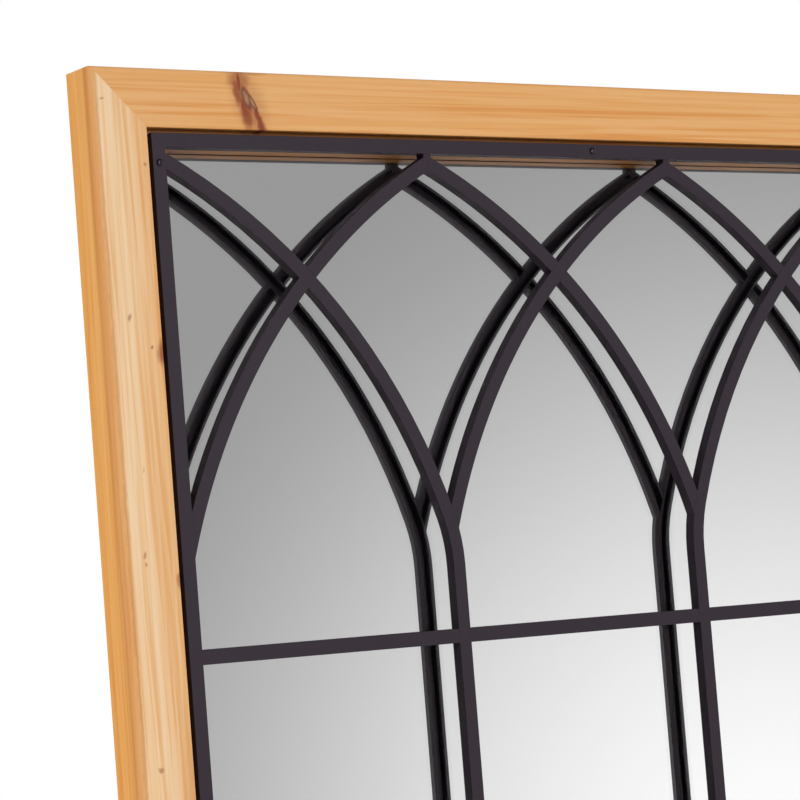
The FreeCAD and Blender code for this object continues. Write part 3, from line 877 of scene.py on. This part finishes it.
def screw_places(node):
    """The separate screws of a CAD node, each as the list of its corner points."""
    solid = bmesh.new()
    solid.from_mesh(nodes[node].data)
    bmesh.ops.remove_doubles(solid, verts=solid.verts, dist=weld_distance)
    left = dict.fromkeys(solid.verts)   # a set would give another order, and other turns, each run
    screws = []
    while left:
        found = [left.popitem()[0]]
        for vert in found:
            for edge in vert.link_edges:
                other = edge.other_vert(vert)
                if other in left:
                    del left[other]
                    found.append(other)
        screws.append([vert.co.copy() for vert in found])
    solid.free()
    return screws


def screw_sizes(points, heads_to):
    """A CAD screw's head radius, head height, shank radius, shank length and seat."""
    middle = sum((Vector((p.x, 0, p.z)) for p in points), Vector()) / len(points)
    reach = [(math.hypot(p.x - middle.x, p.z - middle.z), heads_to * p.y) for p in points]
    head_radius = max(r for r, y in reach)
    top, tip = max(y for r, y in reach), min(y for r, y in reach)
    seat = min(y for r, y in reach if r > head_edge * head_radius)
    radius = max(r for r, y in reach if y < seat - weld_distance)
    return head_radius, top - seat, radius, seat - tip, seat


print("grille screws found:", len(screw_places("grille_screws")))

# %% [markdown]
# A lathe gives a screw its outline, and Blender's spin does the same with a row of points. The
# punch that presses the cross is two wedges, each a cube that narrows towards the bottom.

# %% Screw blank and punch
spin_steps = 24
dome_angles = (0.0, 0.4, 0.8, 1.2)   # radians up the dome, from the rim
rim_height = 0.3   # share of the head's height below the dome
point_start = 0.8   # share of the shank's length at which its point begins
cross_wing, cross_blade, cross_depth = 0.55, 0.13, 0.7   # of head radius, head radius, head height
wing_left, blade_left = 0.45, 0.8   # shares that are left at the bottom of the cross


def turned_screw(head_radius, head_height, radius, length):
    """A closed pan-headed screw on the Z axis, seated on Z = 0, as a mesh."""
    rises = [rim_height + (1 - rim_height) * math.sin(angle) for angle in dome_angles]
    dome = [(head_radius * math.cos(a), head_height * rise) for a, rise in zip(dome_angles, rises)]
    shank = [(head_radius, 0.0), (radius, 0.0), (radius, -point_start * length), (0.0, -length)]
    outline = [(0.0, head_height)] + dome[::-1] + shank
    body = bmesh.new()
    points = [body.verts.new((r, 0.0, z)) for r, z in outline]
    edges = [body.edges.new(pair) for pair in zip(points, points[1:])]
    bmesh.ops.spin(
        body, geom=points + edges, axis=(0, 0, 1), cent=(0, 0, 0), steps=spin_steps, angle=math.tau,
    )
    bmesh.ops.remove_doubles(body, verts=body.verts, dist=weld_distance)
    bmesh.ops.recalc_face_normals(body, faces=body.faces)
    mesh = bpy.data.meshes.new("turned_screw")
    body.to_mesh(mesh)
    body.free()
    return mesh


def cross_cutter(head_radius, head_height):
    """A cross of two crossed wedges that narrows into the head, as a mesh."""
    cutter = bmesh.new()
    wing, blade = cross_wing * head_radius, cross_blade * head_radius
    depth = cross_depth * head_height
    for turn in (0.0, math.pi / 2):
        made = bmesh.ops.create_cube(cutter, size=1.0)["verts"]
        for vert in made:
            deep = vert.co.z < 0
            vert.co.x *= 2 * wing * (wing_left if deep else 1.0)
            vert.co.y *= 2 * blade * (blade_left if deep else 1.0)
            vert.co.z = head_height - depth if deep else head_height + depth
        quarter = Matrix.Rotation(turn, 3, "Z")
        bmesh.ops.rotate(cutter, verts=made, cent=(0, 0, 0), matrix=quarter)
    mesh = bpy.data.meshes.new("cross_cutter")
    cutter.to_mesh(mesh)
    cutter.free()
    return mesh


print("screws are spun in", spin_steps, "steps")

# %% [markdown]
# The cut itself is a Boolean modifier, which is worked out once and kept as a mesh. Modelling
# the cross by hand into the dome would give tidier faces, but the Boolean is shorter and quite
# enough here.

# %% Cut and drive
golden_turn = math.radians(137.5)   # no two neighbours end up at the same angle


def cut_screw(head_radius, head_height, radius, length):
    """One screw with its cross cut, as a mesh."""
    blank = turned_screw(head_radius, head_height, radius, length)
    screw = bpy.data.objects.new("screw_blank", blank)
    cutter = bpy.data.objects.new("screw_cutter", cross_cutter(head_radius, head_height))
    for helper in (screw, cutter):
        bpy.context.collection.objects.link(helper)
    cut = screw.modifiers.new("cross", "BOOLEAN")
    cut.object = cutter
    cut.solver = "EXACT"
    cut.use_self = True
    finished = screw.evaluated_get(bpy.context.evaluated_depsgraph_get())
    mesh = bpy.data.meshes.new_from_object(finished)
    for helper in (screw, cutter):
        bpy.data.objects.remove(helper)
    return mesh


def drive_screws(node, piece_name, heads_to, material):
    """Detailed screws in place of a CAD node; heads_to is -1 for the front and 1 for the wall."""
    places = screw_places(node)
    *lengths, seat = screw_sizes(places[0], heads_to)
    one = cut_screw(*lengths)
    upright = Matrix.Rotation(-heads_to * math.pi / 2, 4, "X")
    all_screws = bmesh.new()
    for i, points in enumerate(places):
        x = (min(p.x for p in points) + max(p.x for p in points)) / 2
        z = (min(p.z for p in points) + max(p.z for p in points)) / 2
        start = len(all_screws.verts)
        all_screws.from_mesh(one)
        all_screws.verts.ensure_lookup_table()
        stand = upright @ Matrix.Rotation(i * golden_turn, 4, "Z")
        move = Matrix.Translation((x, heads_to * seat, z)) @ stand
        bmesh.ops.transform(all_screws, matrix=move, verts=all_screws.verts[start:])
    mesh = bpy.data.meshes.new(piece_name)
    all_screws.to_mesh(mesh)
    all_screws.free()
    mesh.materials.clear()
    mesh.materials.append(material)
    mesh.shade_smooth()
    piece = bpy.data.objects.new(piece_name, mesh)
    bpy.context.collection.objects.link(piece)
    piece.modifiers.new("flat_faces", "WEIGHTED_NORMAL")
    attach(piece, "frame")
    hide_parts(node)
    print(piece_name, len(places), "screws, head", round(lengths[0] * 2000, 2), "mm wide")


print("each screw is turned by", round(math.degrees(golden_turn), 1), "degrees more than the last")

# %% [markdown]
# ## The screws' finish
# The grille's screws are steel, blackened in a hot salt bath and oiled, as screws for black
# ironwork are. Black paint would look flat: an oxide leaves the metal its gloss, so each head
# has a small glint. The screws on the rear are zinc plated, like the hangers.

# %% Screws
oxide_cloud = 1.5   # millimetres

# Black-oxide steel: dark metal with an oiled gloss, so each head is a black dot with a small glint.
oxide, tree = new_material("oiled_black_oxide_steel")
_, shade = mottled(tree, oxide_cloud, 2.0, "#2e2a31", "#4a454e")
finish_material(tree, {"Base Color": shade, "Metallic": 1.0, "Roughness": 0.32})

drive_screws("grille_screws", "grille_pan_screws", -1, oxide)
drive_screws("board_screws", "board_pan_screws", 1, zinc)
drive_screws("hanger_screws", "hanger_pan_screws", 1, zinc)
